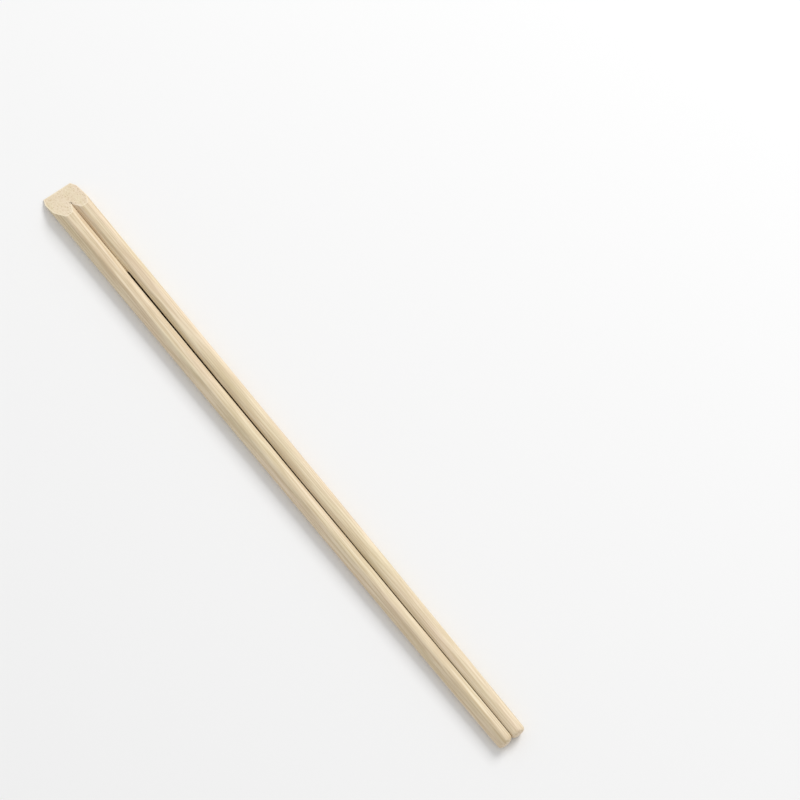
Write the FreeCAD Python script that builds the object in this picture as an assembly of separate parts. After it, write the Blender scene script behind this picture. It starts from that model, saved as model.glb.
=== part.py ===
import FreeCAD, Part
import math
import os

from FreeCAD import Vector

# A pair of disposable bamboo chopsticks: two sticks moulded side by side from one strip of bamboo,
# still joined at the head. Millimetres. The pair lies flat as it comes to rest: head at -X, tips
# at +X, the two sticks side by side in Y, the underside on z = 0, the origin under the middle.

# Overall length, and where the width and thickness between head and tips are set
pair_length = 210.0
middle_from_head = 126.0

# Width of both sticks together
head_width = 11.2
middle_width = 10.0
tip_width = 8.6

# Thickness
head_thickness = 5.0
middle_thickness = 4.7
tip_thickness = 4.25

# Slanted cut across the head: its length, and the height of the narrow square end that it leaves
head_cut_length = 11.4
head_end_height = 0.25

# Slit between the sticks, sawn from the tips and closing up slightly towards them
slit_from_head = 36.0
slit_width_at_root = 0.5
slit_width_at_tips = 0.1

# How far grooves and slit run off the middle, towards +Y
head_groove_offset = 0.48
middle_groove_offset = 0.12
tip_groove_offset = 0.28

# Groove along the top between the sticks: half its width, and its depth
head_groove_half_width = 1.6
tip_groove_half_width = 1.25
head_groove_depth = 1.6
middle_groove_depth = 0.95
tip_groove_depth = 0.7

# Groove along the underside: it starts a little way from the head and deepens towards the tips
under_groove_from_head = 12.0
under_groove_half_width = 1.1
tip_under_groove_depth = 1.1

# Bevels along the outer edges, top and bottom
head_bevel_width = 1.45
head_bevel_height = 1.35
tip_bevel_width = 1.3
tip_bevel_height = 1.3
head_under_bevel_width = 1.1
head_under_bevel_height = 1.2
tip_under_bevel_width = 1.15
tip_under_bevel_height = 1.25

# Softening of the edges: crisp facets at the head, almost round sticks at the tips. A rounding
# takes at most this share of the shorter side next to it.
head_edge_radius = 0.45
tip_edge_radius = 1.6
longest_rounding_share = 0.48

# Softened rims of the tips: their radius, and the steps that each is drawn in
tip_rim_radius = 0.8
tip_rim_steps = 4

# What the blank has to spare under the underside, to be planed flat
planing_cut = 0.1

# How far a cutting body reaches past the bamboo
cutter_reach = 20.0

head_x = -pair_length / 2
tip_x = pair_length / 2
middle_x = head_x + middle_from_head
rim_x = tip_x - tip_rim_radius


def between(at_head, at_tip, share):
    """Value part of the way from the head's to the tips'."""
    return at_head + (at_tip - at_head) * share


def stick_corners(side, width, thickness, groove_y, share):
    """Corners (y, z, radius) of one stick, from the top groove round its outside to the underside's."""
    edge_radius = between(head_edge_radius, tip_edge_radius, share)
    groove_half_width = between(head_groove_half_width, tip_groove_half_width, share)
    bevel_width = between(head_bevel_width, tip_bevel_width, share)
    bevel_height = between(head_bevel_height, tip_bevel_height, share)
    under_bevel_width = between(head_under_bevel_width, tip_under_bevel_width, share)
    under_bevel_height = between(head_under_bevel_height, tip_under_bevel_height, share)
    flank = width / 2
    bottom = -planing_cut
    return [
        (groove_y + side * groove_half_width, thickness, edge_radius),
        (side * (flank - bevel_width), thickness, edge_radius),
        (side * flank, thickness - bevel_height, edge_radius),
        (side * flank, under_bevel_height, edge_radius),
        (side * (flank - under_bevel_width), bottom, edge_radius),
        (groove_y + side * under_groove_half_width, bottom, edge_radius),
    ]


def under_groove_root_z(share):
    """Height of the root of the underside's groove."""
    start = under_groove_from_head / pair_length
    return tip_under_groove_depth * (share - start) / (1 - start)


def section_corners(width, thickness, groove_y, groove_depth, share):
    """Double-lobed section, clockwise; share is 0 for the head's facets and 1 for the tips'."""
    groove_root = (groove_y, thickness - groove_depth, 0.0)
    under_groove_root = (groove_y, under_groove_root_z(share), 0.0)
    far_stick = stick_corners(1, width, thickness, groove_y, share)
    near_stick = stick_corners(-1, width, thickness, groove_y, share)
    return [groove_root] + far_stick + [under_groove_root] + near_stick[::-1]


def inset_corners(corners, inset):
    """The same corners with every side moved into the bamboo by the inset."""
    count = len(corners)
    moved = []
    for index, (y, z, radius) in enumerate(corners):
        last_y, last_z = corners[index - 1][:2]
        next_y, next_z = corners[(index + 1) % count][:2]
        inward_before = Vector(z - last_z, last_y - y).normalize()
        inward_after = Vector(next_z - z, y - next_y).normalize()
        shift = (inward_before + inward_after) * (inset / (1 + inward_before.dot(inward_after)))
        moved.append((y + shift.x, z + shift.y, radius))
    return moved


def rounded_corner(last, corner, following, radius):
    """Points where the rounding of a corner starts, is half way and ends, as far as its sides allow."""
    to_last = last - corner
    to_following = following - corner
    half_angle = to_last.getAngle(to_following) / 2
    longest_tangent = longest_rounding_share * min(to_last.Length, to_following.Length)
    tangent = min(radius / math.tan(half_angle), longest_tangent)
    used_radius = tangent * math.tan(half_angle)
    to_last.normalize()
    to_following.normalize()
    inward = (to_last + to_following).normalize()
    halfway = corner + inward * (used_radius / math.sin(half_angle) - used_radius)
    return corner + to_last * tangent, halfway, corner + to_following * tangent


def section_wire(x, corners):
    """Closed outline across the pair at x; a corner of radius 0 stays sharp."""
    count = len(corners)
    points = [Vector(x, y, z) for y, z, radius in corners]
    edges = []
    starts = []
    ends = []
    for index, (y, z, radius) in enumerate(corners):
        last = points[index - 1]
        corner = points[index]
        following = points[(index + 1) % count]
        start = end = corner
        if radius > 0:
            start, halfway, end = rounded_corner(last, corner, following, radius)
            edges.append(Part.Arc(start, halfway, end).toShape())
        starts.append(start)
        ends.append(end)
    for index, end in enumerate(ends):
        edges.append(Part.LineSegment(end, starts[(index + 1) % count]).toShape())
    return Part.Wire(Part.sortEdges(edges)[0])


def moulded_strip():
    """The strip from the head to where its tips begin to round, before its slit and its cuts."""
    middle_share = middle_from_head / pair_length
    head = section_corners(
        head_width, head_thickness, head_groove_offset, head_groove_depth, 0.0)
    middle = section_corners(
        middle_width, middle_thickness, middle_groove_offset, middle_groove_depth, middle_share)
    tips = section_corners(
        tip_width, tip_thickness, tip_groove_offset, tip_groove_depth, 1.0)
    return Part.makeLoft([
        section_wire(head_x, head),
        section_wire(middle_x, middle),
        section_wire(rim_x, tips),
    ], True, True)


def tip_corners(side):
    """Corners (y, z, radius) of one stick at the start of its tip, where the slit's wall ends in the grooves."""
    half_slit = slit_width_at_tips / 2
    root_z = tip_thickness - tip_groove_depth
    wall_top = root_z + tip_groove_depth * half_slit / tip_groove_half_width
    under_depth = tip_under_groove_depth + planing_cut
    wall_bottom = tip_under_groove_depth - under_depth * half_slit / under_groove_half_width
    wall_y = tip_groove_offset + side * half_slit
    outside = stick_corners(side, tip_width, tip_thickness, tip_groove_offset, 1.0)
    corners = [(wall_y, wall_top, 0.0)] + outside + [(wall_y, wall_bottom, 0.0)]
    return corners if side > 0 else corners[::-1]


def rounded_tip(side):
    """Last short stretch of one stick, where a quarter round brings its section in to the square end."""
    outlines = []
    for step in range(tip_rim_steps + 1):
        angle = math.radians(90 * step / tip_rim_steps)
        inset = tip_rim_radius * (1 - math.cos(angle))
        x = rim_x + tip_rim_radius * math.sin(angle)
        outlines.append(section_wire(x, inset_corners(tip_corners(side), inset)))
    return Part.makeLoft(outlines, True, True)


def planing_body():
    """What is planed off so that the pair lies flat."""
    length = pair_length + 2 * cutter_reach
    width = head_width + 2 * cutter_reach
    corner = Vector(head_x - cutter_reach, -width / 2, -cutter_reach)
    return Part.makeBox(length, width, cutter_reach, corner)


def head_cut_body():
    """Wedge above the slanted cut, which rises from the narrow square end to the top of the head."""
    rise = (head_thickness - head_end_height) / head_cut_length
    half_width = head_width / 2 + cutter_reach
    low_end = Vector(head_x - cutter_reach, -half_width, head_end_height - cutter_reach * rise)
    high_end = Vector(head_x + cutter_reach, -half_width, head_end_height + cutter_reach * rise)
    above = Vector(low_end.x, -half_width, high_end.z)
    side = Part.Face(Part.makePolygon([low_end, high_end, above, low_end]))
    return side.extrude(Vector(0, 2 * half_width, 0))


def slit_body():
    """Thin wedge of air between the sticks, square at its root, that follows the grooves past the tips."""
    root_x = head_x + slit_from_head
    root_y = between(head_groove_offset, middle_groove_offset, slit_from_head / middle_from_head)
    middle_share = (middle_x - root_x) / (rim_x - root_x)
    middle_width_of_slit = between(slit_width_at_root, slit_width_at_tips, middle_share)
    stations = [
        (root_x, root_y, slit_width_at_root),
        (middle_x, middle_groove_offset, middle_width_of_slit),
        (rim_x, tip_groove_offset, slit_width_at_tips),
        (tip_x + cutter_reach, tip_groove_offset, slit_width_at_tips),
    ]
    far_wall = [Vector(x, y + width / 2, 0) for x, y, width in stations]
    near_wall = [Vector(x, y - width / 2, 0) for x, y, width in stations]
    outline = Part.makePolygon(far_wall + near_wall[::-1] + far_wall[:1])
    outline.translate(Vector(0, 0, -cutter_reach))
    return Part.Face(outline).extrude(Vector(0, 0, head_thickness + 2 * cutter_reach))


def chopstick_pair():
    blank = moulded_strip().fuse([rounded_tip(1), rounded_tip(-1)])
    pair = blank.cut([planing_body(), head_cut_body(), slit_body()])
    return pair.Solids[0]


os.makedirs("parts", exist_ok=True)
pair = chopstick_pair()
pair.exportStep("parts/chopstick_pair.step")
box = pair.BoundBox
print("faces", len(pair.Faces), "valid", pair.isValid(), "volume", round(pair.Volume, 1))
print("size", round(box.XLength, 2), round(box.YLength, 2), round(box.ZLength, 2))
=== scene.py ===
import bmesh
import bpy
import math
import random
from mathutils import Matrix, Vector


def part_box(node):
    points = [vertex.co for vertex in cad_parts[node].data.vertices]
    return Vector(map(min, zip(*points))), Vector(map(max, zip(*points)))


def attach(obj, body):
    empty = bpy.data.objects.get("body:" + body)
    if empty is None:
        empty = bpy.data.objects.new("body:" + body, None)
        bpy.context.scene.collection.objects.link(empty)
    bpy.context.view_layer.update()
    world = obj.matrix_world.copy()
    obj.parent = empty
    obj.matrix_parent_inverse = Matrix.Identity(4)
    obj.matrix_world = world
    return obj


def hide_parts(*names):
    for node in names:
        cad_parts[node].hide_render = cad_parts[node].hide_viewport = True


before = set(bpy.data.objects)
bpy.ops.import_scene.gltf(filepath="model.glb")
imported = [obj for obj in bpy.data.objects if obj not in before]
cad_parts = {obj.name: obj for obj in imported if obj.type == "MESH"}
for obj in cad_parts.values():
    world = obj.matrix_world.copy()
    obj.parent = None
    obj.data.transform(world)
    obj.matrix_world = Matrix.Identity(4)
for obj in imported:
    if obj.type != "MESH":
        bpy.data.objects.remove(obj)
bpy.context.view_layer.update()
mm = 0.001
touching = 0.01 * mm      # places nearer than this count as one
sliver = 0.1 * mm         # an edge that runs less than this along the sticks runs across them

# The pair of sticks. Lengths are millimetres, and x runs from the head at -X to the tips at +X. Two
# numbers are a size at the head and at the tips, three are it at the head, the middle and the tips.
# The near stick is the one at -Y.
pairOfSticks = {
    "node": "chopstick_pair",
    "slot": "bamboo",
    "middleX": 21.0,
    "middleWidth": 10.0,
    "middleThickness": 4.7,
    "tipWidth": 8.6,
    "tipThickness": 4.25,
    "grooveY": (0.38, -0.03, 0.02),     # where both grooves and the slit run
    "nearGrooveHalfWidth": (1.6, 1.25),
    "farGrooveHalfWidth": (1.5, 0.95),
    "grooveDepth": (1.4, 0.9, 0.6),
    "underGrooveFromHead": 12.0,
    "underGrooveHalfWidth": (0.44, 1.1),
    "tipUnderGrooveDepth": 1.1,
    "nearBevelWidth": (1.95, 1.85),     # the bevels along the outer edges
    "farBevelWidth": (1.45, 1.3),
    "nearBevelHeight": (1.75, 1.95),
    "farBevelHeight": (1.35, 1.3),
    "underBevelWidth": (1.1, 1.15),
    "underBevelHeight": (1.2, 1.25),
    "cutLength": 11.4,                  # the slanted cut, and the narrow square end that it leaves
    "cutEndHeight": 0.25,
    "cutInset": 0.22,                   # the width of the slanted cut's rim, painted paler as a highlight
    "cutPrecision": 0.001,
    "pastCut": 2.5,                     # from the cut to the first ring
    "slitFromHead": 36.0,
    "slitWidth": (0.56, 0.25, 0.12),    # the first is what it would have at the head
    "slitReach": 0.4,                   # the slit and the kerf lie this near the groove's line
    "kerfWidth": 0.17,                  # the fine cut in the groove's root where the sticks are joined
    "kerfDepth": 0.4,
    "kerfWidening": 3.0,                # how far before the slit the kerf begins to widen
    "rimRadius": 1.0,                   # the tips' rounded rims
    "rimSteps": 3,
    "endInset": 0.35,                   # from a tip's rim to the inner ring that keeps its end flat
    "ringSpacing": 5.0,
    "cornerReach": (0.12, 0.62),        # how far from a corner its rounding begins
    "longestReach": 0.42,               # and its largest share of a side
    "slitSharpness": 3.5,               # creases, of which 10 is the sharpest
    "cutSharpness": 3.2,
    "lookingUp": 0.9,                   # a face whose normal rises more than this looks up
    "smoothing": 2,
    "crispAngle": 50,
    "handWander": 0.03,                 # how far a ring may be off its line, as if drawn by hand
    "steadyRoot": 1.0,                  # nothing wanders this near the slit's root
    "steadyTips": 2.0,                  # and this near the tips' ends
    "seed": 7,
}

random.seed(pairOfSticks["seed"])


# Small helpers for work in edit mode

def deselectEverything():
    if bpy.context.mode != "OBJECT":
        bpy.ops.object.mode_set(mode="OBJECT")
    bpy.ops.object.select_all(action="DESELECT")


def editedMesh():
    return bmesh.from_edit_mesh(bpy.context.edit_object.data)


def pick(kind, wanted):      # kind is VERT, EDGE or FACE, and wanted says yes or no to each
    bpy.ops.mesh.select_mode(type=kind)
    bpy.ops.mesh.select_all(action="DESELECT")
    work = editedMesh()
    parts = {"VERT": work.verts, "EDGE": work.edges, "FACE": work.faces}[kind]
    for part in parts:
        if wanted(part):
            part.select_set(True)
    work.select_flush_mode()
    bmesh.update_edit_mesh(bpy.context.edit_object.data)


def lay(name):      # one of the surfaces goes on the faces that are picked
    bpy.context.object.active_material_index = list(surfaces).index(name)
    bpy.ops.object.material_slot_assign()


def near(first, second):
    return abs(first - second) < touching


def liesAt(part, x):      # a whole edge or face, at one place along the sticks
    return all(near(corner.co.x, x) for corner in part.verts)


def between(values, share):
    return values[0] + (values[-1] - values[0]) * share


# The ends, and the head's width and thickness, come from the solid's own box
nodeLow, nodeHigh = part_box(pairOfSticks["node"])
headX = nodeLow.x / mm
tipX = nodeHigh.x / mm
rootX = headX + pairOfSticks["slitFromHead"]
clearX = headX + pairOfSticks["cutLength"] + pairOfSticks["pastCut"]
headWidth = (nodeHigh.y - nodeLow.y) / mm
headThickness = nodeHigh.z / mm


def alongSticks(sizes, x):      # a size that runs from the head over the middle to the tips
    middleX = pairOfSticks["middleX"]
    if x < middleX:
        return between(sizes[:2], (x - headX) / (middleX - headX))
    return between(sizes[1:], (x - middleX) / (tipX - middleX))


def grooveAt(place):      # where the groove runs across the pair, for a place in the mesh
    return alongSticks(pairOfSticks["grooveY"], place.x / mm) * mm


def slitWidthAt(x):
    if x < rootX:
        return pairOfSticks["kerfWidth"]
    return alongSticks(pairOfSticks["slitWidth"], x)


# Materials. Bamboo's fibres run along the sticks, so every pattern is long in X and fine across it:
# it shows as lines along a stick and as dots where a cut crosses the fibres. "Along" and "PerMetre"
# are how many lines or dots a metre holds along the fibres and across them.
fibreLook = {
    "finePerMetre": 2600,
    "fineAlong": 60,
    "fineContrast": 7.5,
    "fineShare": 0.52,
    "mediumPerMetre": 1150,
    "mediumAlong": 14,
    "mediumContrast": 4.0,
    "mediumShare": 0.32,
    "broadPerMetre": 420,
    "broadAlong": 8,
    "broadContrast": 1.6,
    "tintPerMetre": 260,
    "tintAlong": 30,
    "tintContrast": 3.0,
    "lineDetail": 3.0,
    "lineRoughness": 0.6,
    "bundlesPerMetre": 2100,
    "bundlesAlong": 3,
    "bundleCore": 0.4,                  # the share of a dot that is full colour
    "reliefHeight": 0.1 * mm,
    "greenish": (0.98, 1.0, 0.945, 1),
    "pinkish": (1.0, 0.972, 0.98, 1),
}

# The sticks' planed outside, the cuts across the fibres, the slanted cut's rim, painted paler as a
# highlight, and the slit's walls, painted near black as shade. Pale and straw take turns from line to
# line, and the fibre ends show as dots.
surfaces = {
    "planed": {
        "pale": (0.86, 0.735, 0.55, 1),
        "straw": (0.60, 0.465, 0.285, 1),
        "fibre": (0.50, 0.36, 0.20, 1),
        "fibreShare": 0.3,
        "fibreSize": 0.3,
        "roughness": 0.5,
        "gloss": 0.5,
        "bump": 0.3,
    },
    "cut": {
        "pale": (0.87, 0.755, 0.59, 1),
        "straw": (0.74, 0.61, 0.43, 1),
        "fibre": (0.53, 0.39, 0.22, 1),
        "fibreShare": 0.7,
        "fibreSize": 0.33,
        "roughness": 0.75,
        "gloss": 0.3,
        "bump": 0.3,
    },
    # The slanted cut's rim: paler than the cut, a painted highlight where its edge catches the light
    "cutRimHighlight": {
        "pale": (0.91, 0.81, 0.64, 1),
        "straw": (0.84, 0.72, 0.53, 1),
        "fibre": (0.70, 0.55, 0.36, 1),
        "fibreShare": 0.2,
        "fibreSize": 0.3,
        "roughness": 0.7,
        "gloss": 0.4,
        "bump": 0.15,
    },
    # The slit's walls: bamboo painted near black, as painted shade for the deep, narrow slit
    "slitPaintedShade": {
        "pale": (0.12, 0.075, 0.035, 1),
        "straw": (0.08, 0.048, 0.02, 1),
        "fibre": (0.06, 0.034, 0.014, 1),
        "fibreShare": 0.4,
        "fibreSize": 0.3,
        "roughness": 0.85,
        "gloss": 0.1,
        "bump": 0.3,
    },
}


def addNode(tree, kind, at, values=None, **settings):
    made = tree.nodes.new(kind)
    made.location = at
    for name, value in settings.items():
        setattr(made, name, value)
    for name, value in (values or {}).items():
        made.inputs[name].default_value = value
    return made


def newGroup(name, numbers, result):      # takes a vector and some numbers, and gives one number
    tree = bpy.data.node_groups.new(name, "ShaderNodeTree")
    tree.interface.new_socket(name="Vector", in_out="INPUT", socket_type="NodeSocketVector")
    for title in numbers:
        tree.interface.new_socket(name=title, in_out="INPUT", socket_type="NodeSocketFloat")
    tree.interface.new_socket(name=result, in_out="OUTPUT", socket_type="NodeSocketFloat")
    source = addNode(tree, "NodeGroupInput", (-900, 0))
    return tree, source, addNode(tree, "NodeGroupOutput", (600, 0))


def stretchAlong(tree, source):      # the vector, scaled little along the fibres and much across
    scale = addNode(tree, "ShaderNodeCombineXYZ", (-700, -200))
    tree.links.new(source.outputs["Along"], scale.inputs["X"])
    tree.links.new(source.outputs["Across"], scale.inputs["Y"])
    tree.links.new(source.outputs["Across"], scale.inputs["Z"])
    stretched = addNode(tree, "ShaderNodeVectorMath", (-500, 0), operation="MULTIPLY")
    tree.links.new(source.outputs["Vector"], stretched.inputs[0])
    tree.links.new(scale.outputs["Vector"], stretched.inputs[1])
    return stretched


def makeStreakGroup():
    tree, source, result = newGroup("fibreStreaks", ("Along", "Across", "Contrast"), "Value")
    stretched = stretchAlong(tree, source)
    noise = addNode(tree, "ShaderNodeTexNoise", (-300, 0), {
        "Scale": 1.0,
        "Detail": fibreLook["lineDetail"],
        "Roughness": fibreLook["lineRoughness"],
    })
    noiseMiddle = 0.5      # the contrast pulls the noise apart from here
    centred = addNode(tree, "ShaderNodeMath", (-100, 0), operation="SUBTRACT")
    centred.inputs[1].default_value = noiseMiddle
    stronger = addNode(tree, "ShaderNodeMath", (100, 0), operation="MULTIPLY_ADD", use_clamp=True)
    stronger.inputs[2].default_value = noiseMiddle
    tree.links.new(stretched.outputs["Vector"], noise.inputs["Vector"])
    tree.links.new(noise.outputs["Fac"], centred.inputs[0])
    tree.links.new(centred.outputs["Value"], stronger.inputs[0])
    tree.links.new(source.outputs["Contrast"], stronger.inputs[1])
    tree.links.new(stronger.outputs["Value"], result.inputs["Value"])
    return tree


def makeBundleGroup():
    tree, source, result = newGroup("fibreBundles", ("Along", "Across", "Size"), "Mask")
    stretched = stretchAlong(tree, source)
    cells = addNode(tree, "ShaderNodeTexVoronoi", (-300, 0), {"Scale": 1.0, "Randomness": 1.0})
    dot = addNode(tree, "ShaderNodeMapRange", (0, 0), {"To Min": 1.0, "To Max": 0.0},
                  interpolation_type="SMOOTHSTEP")
    core = addNode(tree, "ShaderNodeMath", (-300, -300), operation="MULTIPLY")
    core.inputs[1].default_value = fibreLook["bundleCore"]
    tree.links.new(stretched.outputs["Vector"], cells.inputs["Vector"])
    tree.links.new(source.outputs["Size"], core.inputs[0])
    tree.links.new(core.outputs["Value"], dot.inputs["From Min"])
    tree.links.new(source.outputs["Size"], dot.inputs["From Max"])
    tree.links.new(cells.outputs["Distance"], dot.inputs["Value"])
    tree.links.new(dot.outputs["Result"], result.inputs["Mask"])
    return tree


def placeGroup(tree, group, at, vector, **values):
    placed = addNode(tree, "ShaderNodeGroup", at, node_tree=group)
    for name, value in values.items():
        placed.inputs[name].default_value = value
    tree.links.new(vector, placed.inputs["Vector"])
    return placed


def mixColours(tree, at, share, first, second, blend="MIX"):
    mixed = addNode(tree, "ShaderNodeMix", at, data_type="RGBA", blend_type=blend)
    sockets = [mixed.inputs[index] for index in (0, 6, 7)]      # the share and the two colours
    for socket, value in zip(sockets, (share, first, second)):
        if isinstance(value, bpy.types.NodeSocket):
            tree.links.new(value, socket)
        else:
            socket.default_value = value
    return mixed.outputs[2]      # the colour


def makeBamboo(name):
    fibres = fibreLook
    surface = surfaces[name]
    material = bpy.data.materials.new(name + "Bamboo")
    material.use_nodes = True
    tree = material.node_tree
    shader = tree.nodes["Principled BSDF"]
    shader.inputs["Roughness"].default_value = surface["roughness"]
    shader.inputs["Specular IOR Level"].default_value = surface["gloss"]
    place = addNode(tree, "ShaderNodeTexCoord", (-1500, 0)).outputs["Object"]

    # The fibre lines in four sizes, and the bundles
    lines = {}
    for size, height in (("broad", 0), ("medium", 300), ("fine", 600), ("tint", 900)):
        streaks = placeGroup(tree, streakGroup, (-1200, height), place,
                             Along=fibres[size + "Along"], Across=fibres[size + "PerMetre"],
                             Contrast=fibres[size + "Contrast"])
        lines[size] = streaks.outputs["Value"]
    bundles = placeGroup(tree, bundleGroup, (-1200, -300), place, Along=fibres["bundlesAlong"],
                         Across=fibres["bundlesPerMetre"], Size=surface["fibreSize"])

    # The colour: broad lines, with finer ones on them, faintly tinted, and the bundles' dots on top
    body = mixColours(tree, (-900, 0), lines["broad"], surface["straw"], surface["pale"])
    for size, x in (("medium", -900), ("fine", -700)):
        striped = mixColours(tree, (x, 300), lines[size], surface["straw"], surface["pale"])
        body = mixColours(tree, (x + 100, 100), fibres[size + "Share"], body, striped)
    tinting = mixColours(tree, (-900, 900), lines["tint"], fibres["greenish"], fibres["pinkish"])
    tinted = mixColours(tree, (-450, 200), 1.0, body, tinting, blend="MULTIPLY")
    dots = addNode(tree, "ShaderNodeMath", (-900, -300), operation="MULTIPLY")
    dots.inputs[1].default_value = surface["fibreShare"]
    tree.links.new(bundles.outputs["Mask"], dots.inputs[0])
    colour = mixColours(tree, (-300, 0), dots.outputs["Value"], tinted, surface["fibre"])
    tree.links.new(colour, shader.inputs["Base Color"])

    # The fine lines stand out a little
    relief = addNode(tree, "ShaderNodeBump", (-300, -400), {
        "Strength": surface["bump"],
        "Distance": fibres["reliefHeight"],
    })
    tree.links.new(lines["fine"], relief.inputs["Height"])
    tree.links.new(relief.outputs["Normal"], shader.inputs["Normal"])
    return material


streakGroup = makeStreakGroup()
bundleGroup = makeBundleGroup()
print("fibre patterns made")


# Each corner from the third to the last but one gives way to two, one on either side of it. The
# kerf's two corners and the root of the groove underneath stay sharp.

def softened(corners, reach):
    sharp = corners[:2]
    soft = []
    for last, corner, following in zip(corners[1:], corners[2:], corners[3:]):
        for other in (last, following):
            way = Vector(other) - Vector(corner)
            share = min(reach / way.length, pairOfSticks["longestReach"])
            soft.append(tuple(Vector(corner) + way * share))
    return sharp + soft + corners[-1:]


# The section across both sticks, each from the top groove's kerf round the outside to the underside
# groove's root. Where the sticks are joined, only the kerf lies between them.

def sectionAt(x):
    pair = pairOfSticks
    share = (x - headX) / (tipX - headX)
    flank = alongSticks((headWidth, pair["middleWidth"], pair["tipWidth"]), x) / 2
    thickness = alongSticks((headThickness, pair["middleThickness"], pair["tipThickness"]), x)
    grooveY = alongSticks(pair["grooveY"], x)
    rootZ = thickness - alongSticks(pair["grooveDepth"], x)
    underStart = pair["underGrooveFromHead"] / (tipX - headX)
    underRootZ = max(0, pair["tipUnderGrooveDepth"] * (share - underStart) / (1 - underStart))
    halfUnder = between(pair["underGrooveHalfWidth"], share)
    underWidth = between(pair["underBevelWidth"], share)
    underHeight = between(pair["underBevelHeight"], share)
    halfSlit = slitWidthAt(x) / 2
    reach = between(pair["cornerReach"], share)
    sticks = []
    for side, which in ((-1, "near"), (1, "far")):
        halfGroove = between(pair[which + "GrooveHalfWidth"], share)
        bevelWidth = between(pair[which + "BevelWidth"], share)
        bevelHeight = between(pair[which + "BevelHeight"], share)
        sticks.append(softened([
            (grooveY + side * halfSlit, rootZ - pair["kerfDepth"]),
            (grooveY + side * halfSlit, rootZ),
            (grooveY + side * halfGroove, thickness),
            (side * (flank - bevelWidth), thickness),
            (side * flank, thickness - bevelHeight),
            (side * flank, underHeight),
            (side * (flank - underWidth), 0),
            (grooveY + side * halfUnder, 0),
            (grooveY + side * halfSlit, underRootZ),
        ], reach))
    return [(y * mm, z * mm) for y, z in sticks[0] + sticks[1][::-1]]


def drawOutline(x, section):      # the outline across the head, drawn from a circle
    deselectEverything()
    bpy.ops.mesh.primitive_circle_add(
        vertices=len(section), radius=headWidth * mm, location=(0, 0, 0))
    sticks = bpy.context.object
    sticks.name = "bambooPair"
    for name in surfaces:
        sticks.data.materials.append(makeBamboo(name))
    bpy.ops.object.mode_set(mode="EDIT")
    places = [vertex.co.copy() for vertex in sticks.data.vertices]
    for place, (y, z) in zip(places, section):
        pick("VERT", lambda vertex: (vertex.co - place).length < touching)
        bpy.ops.transform.translate(value=Vector((x, y, z)) - place)
    return sticks


def moveRing(x, was, now):      # each corner of the ring at x goes to its new place
    work = editedMesh()
    work.verts.index_update()
    ring = [(vertex.index, vertex.co.copy()) for vertex in work.verts if near(vertex.co.x, x)]
    for (y, z), (newY, newZ) in zip(was, now):
        index = min(ring, key=lambda corner: (corner[1] - Vector((x, y, z))).length)[0]
        pick("VERT", lambda vertex: vertex.index == index)
        bpy.ops.transform.translate(value=(0, newY - y, newZ - z))


def extrudeRing(x, nextX, was, now):
    pick("VERT", lambda vertex: near(vertex.co.x, x))
    bpy.ops.mesh.extrude_region_move(TRANSFORM_OT_translate={"value": (nextX - x, 0, 0)})
    moveRing(nextX, was, now)


def addRings(x, nextX):      # evenly, between two rings that are there
    def runsBetween(edge):
        ends = sorted(vertex.co.x for vertex in edge.verts)
        return near(ends[0], x) and near(ends[1], nextX)

    steps = round((nextX - x) / mm / pairOfSticks["ringSpacing"])
    pick("EDGE", runsBetween)
    bpy.ops.mesh.subdivide(number_cuts=max(1, steps - 1))


# Drawn out to the tips, ring by ring, and then with more rings between, past the slanted cut

def buildSticks():
    pair = pairOfSticks
    widensX = rootX - pair["kerfWidening"]
    rings = [headX, clearX, widensX, rootX, pair["middleX"], tipX - pair["rimRadius"]]
    sections = [(x * mm, sectionAt(x)) for x in rings]
    sticks = drawOutline(*sections[0])
    for (x, was), (nextX, now) in zip(sections, sections[1:]):
        extrudeRing(x, nextX, was, now)
    for (x, _), (nextX, _) in zip(sections[1:], sections[2:]):
        addRings(x, nextX)
    print("sticks drawn out from the head to the tips")
    openSlit()
    closeTips()
    cutHead()
    setCreases()
    handWander()
    return smoothSticks(sticks)


# The slit: the strips between the sticks go, and each stick gets its inner wall

def isBetweenSticks(vertex):
    return abs(vertex.co.y - grooveAt(vertex.co)) < pairOfSticks["slitReach"] * mm


def isBeyondRoot(vertex):
    return vertex.co.x > rootX * mm - touching


def runsAlongSticks(edge):      # at least twice as far along them as across
    first, second = (vertex.co for vertex in edge.verts)
    along = abs(first.x - second.x)
    return along > sliver and along > 2 * abs(first.y - second.y)


def openSlit():
    def isInSlit(face):
        return all(isBetweenSticks(vertex) and isBeyondRoot(vertex) for vertex in face.verts)

    def isStrip(face):      # at the kerf's bottom or along the underside, and no wall of the kerf
        return isInSlit(face) and abs(face.normal.z) > abs(face.normal.y)

    pick("FACE", isStrip)
    bpy.ops.mesh.delete(type="FACE")
    for side in (-1, 1):
        def isOpenSide(edge):
            onSide = all((vertex.co.y - grooveAt(vertex.co)) * side > 0 for vertex in edge.verts)
            return edge.is_boundary and onSide and runsAlongSticks(edge)

        pick("EDGE", isOpenSide)
        bpy.ops.mesh.bridge_edge_loops()

    pick("EDGE", lambda edge: edge.is_boundary and liesAt(edge, rootX * mm))
    bpy.ops.mesh.edge_face_add()
    # the slit's walls get the near-black surface of painted shade
    pick("FACE", isInSlit)
    lay("slitPaintedShade")
    print("slit opened between the sticks")


# The tips: each open end is drawn in step by step along a quarter round, and then closed

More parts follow.
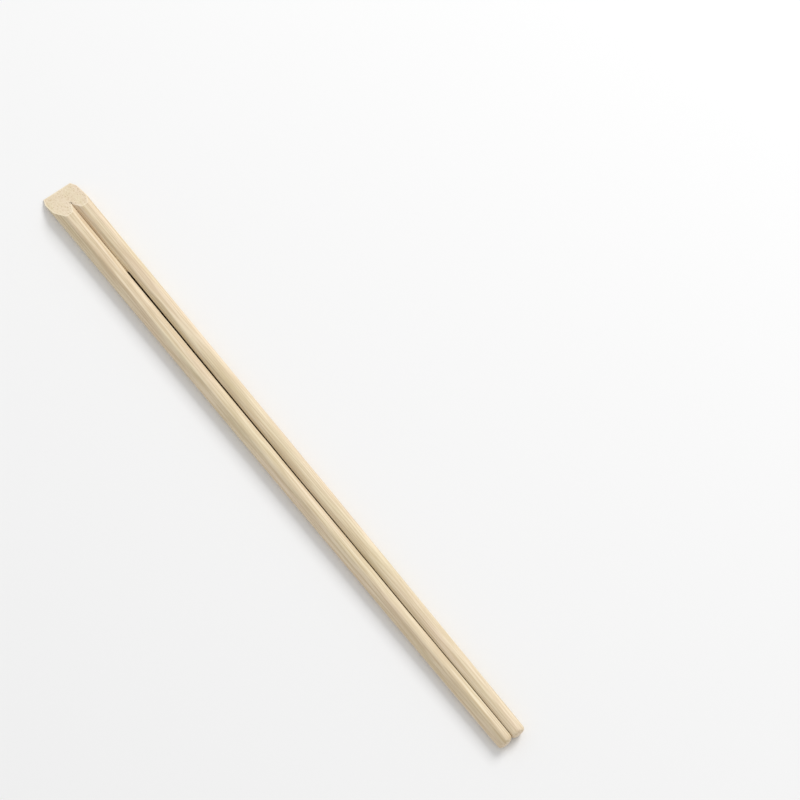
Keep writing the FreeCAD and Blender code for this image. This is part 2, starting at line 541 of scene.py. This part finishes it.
def closeTips():
    radius = pairOfSticks["rimRadius"]
    steps = pairOfSticks["rimSteps"]
    startX = (tipX - radius) * mm
    angles = [math.radians(90 * step / steps) for step in range(steps + 1)]
    for side in (-1, 1):
        def isEnd(vertex):
            return near(vertex.co.x, startX) and (vertex.co.y - grooveAt(vertex.co)) * side > 0

        pick("VERT", isEnd)
        ends = [vertex.co for vertex in editedMesh().verts if vertex.select]
        low = Vector([min(place[axis] for place in ends) for axis in range(3)])
        high = Vector([max(place[axis] for place in ends) for axis in range(3)])
        size = (high - low) / mm
        for last, angle in zip(angles, angles[1:]):
            forward = radius * (math.sin(angle) - math.sin(last)) * mm
            bpy.ops.mesh.extrude_region_move(TRANSFORM_OT_translate={"value": (forward, 0, 0)})

            # How far the quarter round has drawn both sides in, before this step and after it
            was, now = [2 * radius * (1 - math.cos(turned)) for turned in (last, angle)]
            bpy.ops.transform.resize(
                value=(1, (size.y - now) / (size.y - was), (size.z - now) / (size.z - was)),
                center_override=(low + high) / 2)
        bpy.ops.mesh.edge_face_add()
        lay("cut")
        bpy.ops.mesh.inset(thickness=pairOfSticks["endInset"] * mm)

    def isRim(face):
        nearestX = min(vertex.co.x for vertex in face.verts)
        return startX - touching < nearestX < tipX * mm - touching

    pick("FACE", isRim)
    lay("planed")
    print("tips rounded at their rims and closed")


# The head: closed, and cut on the slant down to a narrow square end

def cutPlane():
    rise = (headThickness - pairOfSticks["cutEndHeight"]) / pairOfSticks["cutLength"]
    lowEdge = Vector((headX * mm, 0, pairOfSticks["cutEndHeight"] * mm))
    return lowEdge, Vector((-rise, 0, 1)).normalized()


def isOnCut(part):      # a whole edge or face
    lowEdge, out = cutPlane()
    return all(near((vertex.co - lowEdge).dot(out), 0) for vertex in part.verts)


def cutHead():
    pick("EDGE", lambda edge: edge.is_boundary)
    bpy.ops.mesh.edge_face_add()
    lowEdge, out = cutPlane()
    bpy.ops.mesh.select_all(action="SELECT")
    bpy.ops.mesh.bisect(plane_co=lowEdge, plane_no=out, use_fill=True, clear_outer=True,
                        threshold=pairOfSticks["cutPrecision"] * mm)
    # the whole cut takes the rim's painted highlight, and its inset middle takes the cut's own colour
    pick("FACE", isOnCut)
    lay("cutRimHighlight")
    bpy.ops.mesh.inset(thickness=pairOfSticks["cutInset"] * mm)
    lay("cut")
    pick("FACE", lambda face: liesAt(face, headX * mm))
    lay("cut")
    print("head cut on the slant")


# Creases: the slit and the kerf all along, the cut where it meets a side, and the square end. Where
# the cut meets a face that looks up as it does, the edge stays soft.

def crease(sharpness):      # Blender keeps a crease as the square root of a tenth of its sharpness
    bpy.ops.transform.edge_crease(value=math.sqrt(sharpness / 10))


def setCreases():
    def isSlitEdge(edge):
        return runsAlongSticks(edge) and all(isBetweenSticks(vertex) for vertex in edge.verts)

    def isCutEdge(edge):
        onlyUp = all(face.normal.z > pairOfSticks["lookingUp"] for face in edge.link_faces)
        return isOnCut(edge) and not onlyUp

    pick("EDGE", isSlitEdge)
    crease(pairOfSticks["slitSharpness"])
    pick("EDGE", isCutEdge)
    crease(pairOfSticks["cutSharpness"])
    pick("EDGE", lambda edge: liesAt(edge, headX * mm))
    crease(pairOfSticks["cutSharpness"])
    print("edges of the cut and the slit creased")


def handWander():
    steadyTo = rootX + pairOfSticks["steadyRoot"]
    steadyFrom = tipX - pairOfSticks["steadyTips"]
    rings = {round(vertex.co.x / mm, 3) for vertex in editedMesh().verts}
    for x in sorted(x for x in rings if steadyTo < x < steadyFrom):
        pick("VERT", lambda vertex: near(vertex.co.x, x * mm))
        shift = random.uniform(-1, 1) * pairOfSticks["handWander"] * mm
        bpy.ops.transform.translate(value=(0, shift, 0))


def smoothSticks(sticks):
    bpy.ops.mesh.select_all(action="SELECT")
    bpy.ops.mesh.normals_make_consistent(inside=False)
    bpy.ops.object.mode_set(mode="OBJECT")
    smoothing = sticks.modifiers.new("smoothing", "SUBSURF")
    smoothing.levels = smoothing.render_levels = pairOfSticks["smoothing"]
    bpy.ops.object.modifier_apply(modifier=smoothing.name)
    bpy.ops.object.shade_smooth_by_angle(angle=math.radians(pairOfSticks["crispAngle"]))
    print("sticks smoothed:", len(sticks.data.polygons), "faces")
    return sticks


sticks = buildSticks()
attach(sticks, "root")
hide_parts(pairOfSticks["node"])


# The studio: a pale floor, an even white sky, and one soft light beside the far stick. Metres, watts
# and degrees.
studio = {
    "floorSize": 6.0,
    "floorDrop": 0.02 * mm,             # how far under the sticks the floor lies
    "floorColour": (0.9, 0.9, 0.9, 1),
    "floorRoughness": 0.9,
    "floorGloss": 0.1,
    "skyColour": (1.0, 1.0, 1.0, 1),
    "skyStrength": 0.66,
    "keyAzimuth": 194.0,
    "keyElevation": 41.0,
    "keyDistance": 1.5,
    "keySize": 0.65,
    "keyPower": 12.8,
}


def directionOf(azimuth, elevation):      # azimuth 0 is the side at -Y, and 90 is past the tips
    turn = math.radians(azimuth)
    lift = math.radians(elevation)
    level = math.cos(lift)
    return Vector((math.sin(turn) * level, -math.cos(turn) * level, math.sin(lift)))


def layFloor():
    deselectEverything()
    bpy.ops.mesh.primitive_plane_add(size=studio["floorSize"], location=(0, 0, -studio["floorDrop"]))
    floor = bpy.context.object
    floor.name = "floor"
    paint = bpy.data.materials.new("palePaper")
    paint.use_nodes = True
    shader = paint.node_tree.nodes["Principled BSDF"]
    shader.inputs["Base Color"].default_value = studio["floorColour"]
    shader.inputs["Roughness"].default_value = studio["floorRoughness"]
    shader.inputs["Specular IOR Level"].default_value = studio["floorGloss"]
    floor.data.materials.append(paint)


def lightSky():
    sky = bpy.data.worlds.new("whiteSky")
    bpy.context.scene.world = sky
    sky.use_nodes = True
    backdrop = sky.node_tree.nodes["Background"]
    backdrop.inputs["Color"].default_value = studio["skyColour"]
    backdrop.inputs["Strength"].default_value = studio["skyStrength"]


def hangKey():
    towardsKey = directionOf(studio["keyAzimuth"], studio["keyElevation"])
    bpy.ops.object.light_add(type="AREA", location=towardsKey * studio["keyDistance"])
    key = bpy.context.object
    key.name = "softKey"
    key.rotation_euler = (-towardsKey).to_track_quat("-Z", "Y").to_euler()
    key.data.shape = "SQUARE"
    key.data.size = studio["keySize"]
    key.data.energy = studio["keyPower"]


# The camera, as it was fitted to the outline of the pair in the photograph. Degrees and metres, with
# the lens and the sensor in millimetres.
view = {
    "azimuth": 51.84,
    "elevation": 65.0,
    "distance": 0.585,
    "right": 0.0356,
    "up": 0.0139,
    "lens": 95.27,
    "sensor": 36.0,
}


def placeCamera():
    back = directionOf(view["azimuth"], view["elevation"])
    turned = (-back).to_track_quat("-Z", "Y")
    aside = turned @ Vector((view["right"], view["up"], 0))
    bpy.ops.object.camera_add(location=back * view["distance"] + aside)
    camera = bpy.context.object
    camera.rotation_euler = turned.to_euler()
    camera.data.sensor_width = view["sensor"]
    camera.data.lens = view["lens"]
    bpy.context.scene.camera = camera


layFloor()
lightSky()
hangKey()
print("studio lit")
placeCamera()
bpy.context.scene.view_settings.view_transform = "Standard"
print("camera placed")
